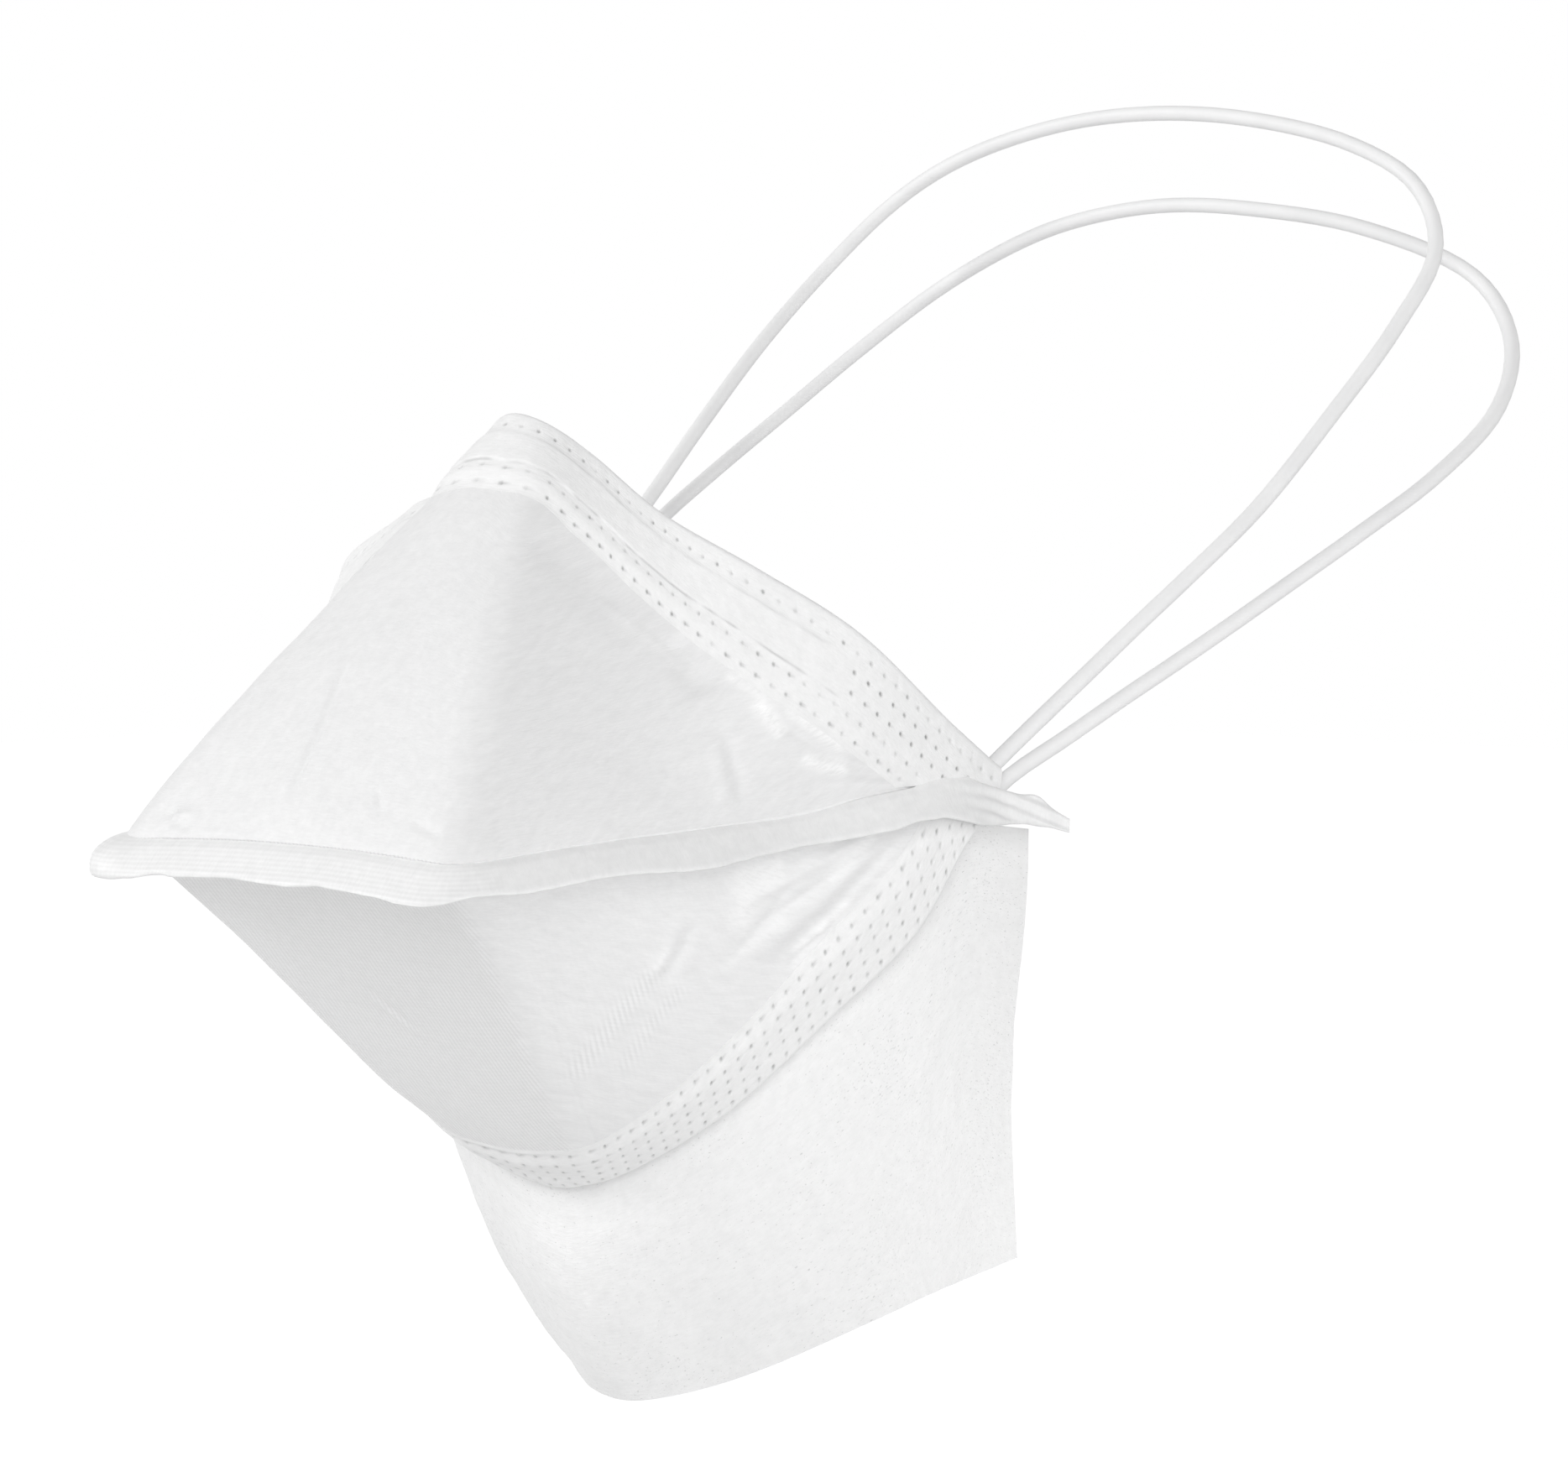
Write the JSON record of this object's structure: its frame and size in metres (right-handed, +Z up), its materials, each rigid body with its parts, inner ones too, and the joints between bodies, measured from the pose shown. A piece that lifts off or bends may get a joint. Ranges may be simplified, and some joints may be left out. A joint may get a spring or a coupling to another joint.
{
  "type": "dust mask",
  "caption": "Opened-out white disposable dust mask: pouch of layered nonwoven with folded edge bands, a nose wire, a welded rim with side wings, elastic headbands and a hanging neck skirt",
  "frame": {"origin": "midway between the roots of the side wings, at the face opening that the wearer's face closes", "axes": "+Y from the front seam towards the wearer, +Z up towards the nose edge, +X towards the wearer's left wing"},
  "size_m": [0.1802, 0.2374, 0.2281],
  "materials": {
    "cover_nonwoven": "white spunbonded nonwoven, fine rib emboss",
    "inner_nonwoven": "white soft nonwoven",
    "filter_web": "white fibre web",
    "edge_binding": "white nonwoven with embossed bond dots",
    "skirt_nonwoven": "white thin spunbonded nonwoven",
    "elastic": "white smooth elastic cord",
    "aluminium": "satin"
  },
  "bodies": {
    "mask": {"outer_upper_panel": "cover_nonwoven", "outer_lower_panel": "cover_nonwoven", "filter_upper_panel": "filter_web", "filter_lower_panel": "filter_web", "inner_upper_panel": "inner_nonwoven", "inner_lower_panel": "inner_nonwoven", "nose_band": "edge_binding", "chin_band": "edge_binding", "edge_weld": "edge_binding", "nose_wire": "aluminium", "skirt_yoke": "skirt_nonwoven", "upper_headband_weld_left": "elastic", "upper_headband_weld_right": "elastic", "lower_headband_weld_left": "elastic", "lower_headband_weld_right": "elastic"},
    "upper_headband": {"upper_headband": "elastic"},
    "lower_headband": {"lower_headband": "elastic"},
    "skirt": {"skirt_drape": "skirt_nonwoven"}
  },
  "joints": [
    {"name": "upper_headband_swing", "type": "hinge", "parent": "mask", "child": "upper_headband", "pos_m": [0, -0.0056, -0.0024], "axis": [1, 0, 0], "range_deg": [0, 60], "stiffness_Nm_per_rad": 0.04},
    {"name": "lower_headband_swing", "type": "hinge", "parent": "mask", "child": "lower_headband", "pos_m": [0, -0.0026, -0.0048], "axis": [1, 0, 0], "range_deg": [-45, 0], "stiffness_Nm_per_rad": 0.04},
    {"name": "skirt_swing", "type": "hinge", "parent": "mask", "child": "skirt", "pos_m": [0, -0.04035, -0.072], "axis": [-1, 0, 0], "range_deg": [0, 30], "stiffness_Nm_per_rad": 0.01}
  ]
}
